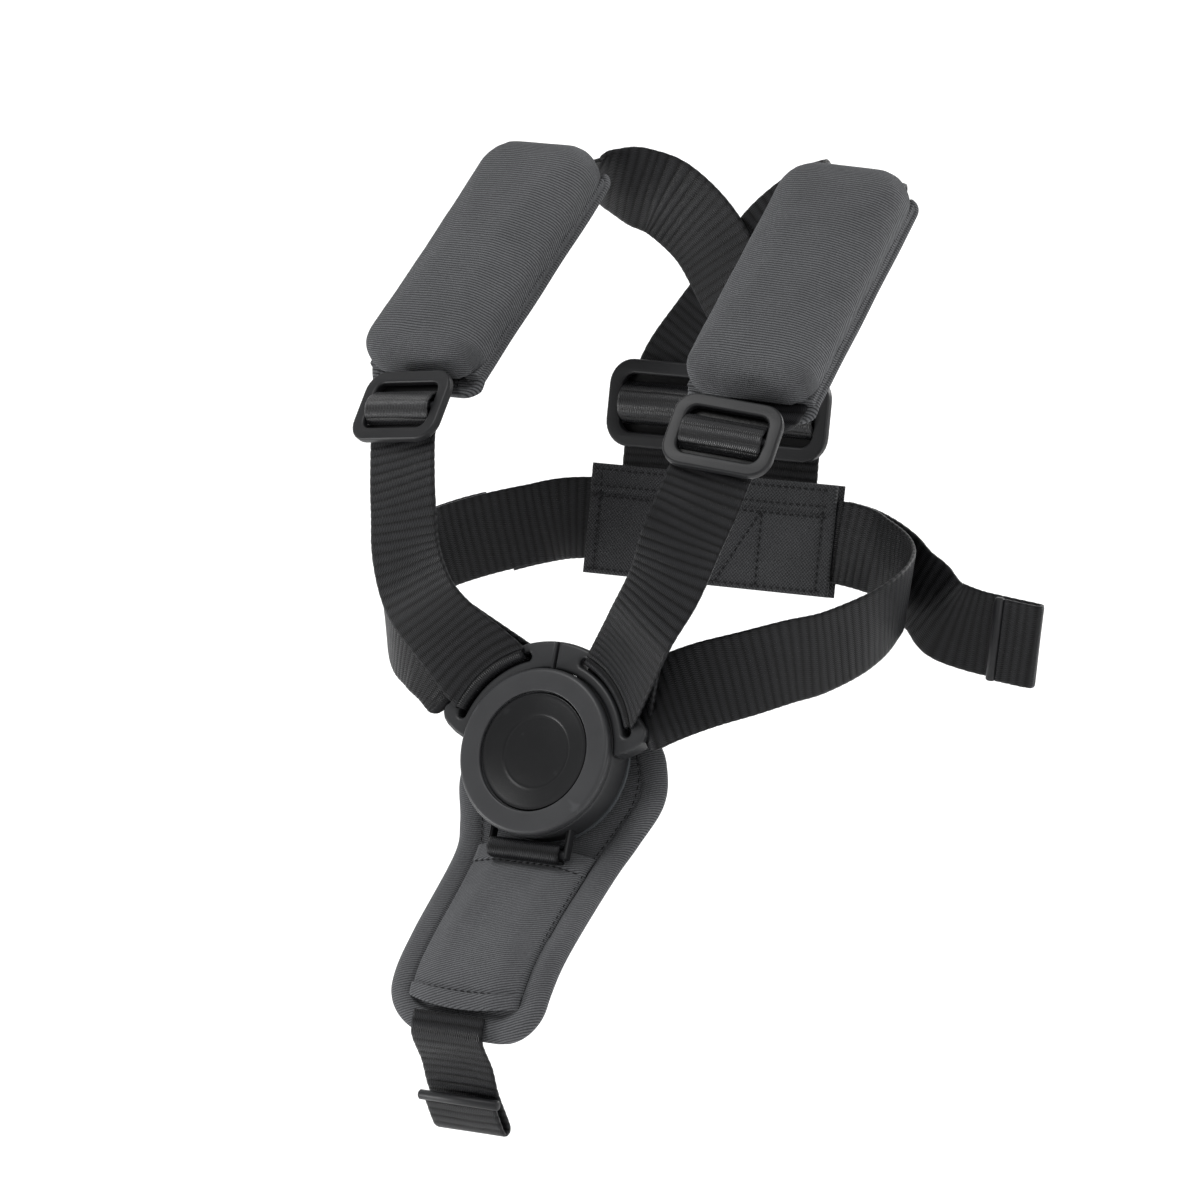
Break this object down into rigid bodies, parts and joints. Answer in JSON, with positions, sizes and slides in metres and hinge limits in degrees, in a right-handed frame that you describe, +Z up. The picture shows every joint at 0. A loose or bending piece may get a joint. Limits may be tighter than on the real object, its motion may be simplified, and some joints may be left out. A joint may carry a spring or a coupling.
{
  "type": "five-point child seat harness",
  "caption": "Small five-point seat harness: crossed padded shoulder straps, waist belt with side anchors, padded crotch strap and a round push-button buckle.",
  "frame": {"origin": "centre of the back panel's rear face, which lies against the seat back", "axes": "+Z up, -Y away from the seat back towards the buckle, +X to the right when looking at the buckle"},
  "size_m": [0.2109, 0.1672, 0.2778],
  "materials": {
    "polyester_web": "matt, ribbed",
    "canvas": "matt",
    "foam": "matt foam",
    "knit_fabric": "matt, ribbed knit",
    "steel": "satin",
    "button_plastic": "satin",
    "nylon": "satin"
  },
  "bodies": {
    "harness": {"left_shoulder_web": "polyester_web", "right_shoulder_web": "polyester_web", "left_return_web": "polyester_web", "right_return_web": "polyester_web", "waist_belt": "polyester_web", "back_panel_front": "canvas", "back_panel_rear": "canvas", "left_tongue": "nylon", "right_tongue": "nylon", "left_tongue_loop": "polyester_web", "right_tongue_loop": "polyester_web", "left_anchor_root": "polyester_web", "right_anchor_root": "polyester_web"},
    "buckle": {"buckle_housing": "nylon", "buckle_bezel": "nylon", "buckle_cover": "nylon", "cover_screws": "steel", "crotch_bar": "steel", "button_spring": "steel"},
    "button": {"release_button": "button_plastic", "latch_plate": "steel"},
    "crotch": {"crotch_loop": "polyester_web", "crotch_web": "polyester_web", "crotch_pad": "knit_fabric", "crotch_pocket": "knit_fabric"},
    "crotch_tail": {"crotch_tail_web": "polyester_web", "crotch_tail_rod": "nylon"},
    "left_adjuster": {"left_adjuster": "nylon", "left_adjuster_loop": "polyester_web"},
    "right_adjuster": {"right_adjuster": "nylon", "right_adjuster_loop": "polyester_web"},
    "rear_slider": {"rear_slider": "nylon", "rear_slider_loops": "polyester_web"},
    "left_pad": {"left_pad_cushion": "knit_fabric", "left_pad_core": "foam", "left_pad_backing": "knit_fabric", "left_pad_seams": "knit_fabric"},
    "right_pad": {"right_pad_cushion": "knit_fabric", "right_pad_core": "foam", "right_pad_backing": "knit_fabric", "right_pad_seams": "knit_fabric"},
    "left_anchor": {"left_anchor_web": "polyester_web", "left_anchor_rod": "nylon"},
    "right_anchor": {"right_anchor_web": "polyester_web", "right_anchor_rod": "nylon"}
  },
  "joints": [
    {"name": "buckle_release", "type": "slide", "parent": "harness", "child": "buckle", "axis": [0, -0.3584, -0.9336], "range_m": [0, 0.02]},
    {"name": "button_press", "type": "slide", "parent": "buckle", "child": "button", "axis": [0, 0.9336, -0.3584], "range_m": [0, 0.0025], "stiffness_N_per_m": 600, "springref_m": -0.001, "deforming": ["button_spring"]},
    {"name": "crotch_swing", "type": "hinge", "parent": "buckle", "child": "crotch", "pos_m": [0, -0.11062, -0.07932], "axis": [-1, 0, 0], "range_deg": [0, 20]},
    {"name": "crotch_tail_swing", "type": "hinge", "parent": "crotch", "child": "crotch_tail", "pos_m": [0, -0.14894, -0.11985], "axis": [1, 0, 0], "range_deg": [-25, 4]},
    {"name": "left_adjust", "type": "slide", "parent": "harness", "child": "left_adjuster", "axis": [-0.02, -0.5999, -0.7998], "range_m": [0, 0.003]},
    {"name": "right_adjust", "type": "slide", "parent": "harness", "child": "right_adjuster", "axis": [0.02, -0.5999, -0.7998], "range_m": [0, 0.003]},
    {"name": "rear_slider_shift", "type": "slide", "parent": "harness", "child": "rear_slider", "axis": [0, 0.1903, 0.9817], "range_m": [-0.004, 0.001]},
    {"name": "left_pad_shift", "type": "slide", "parent": "harness", "child": "left_pad", "axis": [0.0629, 0.7625, 0.6439], "range_m": [-0.001, 0.002]},
    {"name": "right_pad_shift", "type": "slide", "parent": "harness", "child": "right_pad", "axis": [-0.0629, 0.7625, 0.6439], "range_m": [-0.001, 0.002]},
    {"name": "left_anchor_swing", "type": "hinge", "parent": "harness", "child": "left_anchor", "pos_m": [-0.0716, -0.01024, -0.00435], "axis": [0, 0, -1], "range_deg": [0, 75]},
    {"name": "right_anchor_swing", "type": "hinge", "parent": "harness", "child": "right_anchor", "pos_m": [0.0722, -0.00974, -0.00585], "axis": [0, 0, -1], "range_deg": [0, 40]}
  ]
}
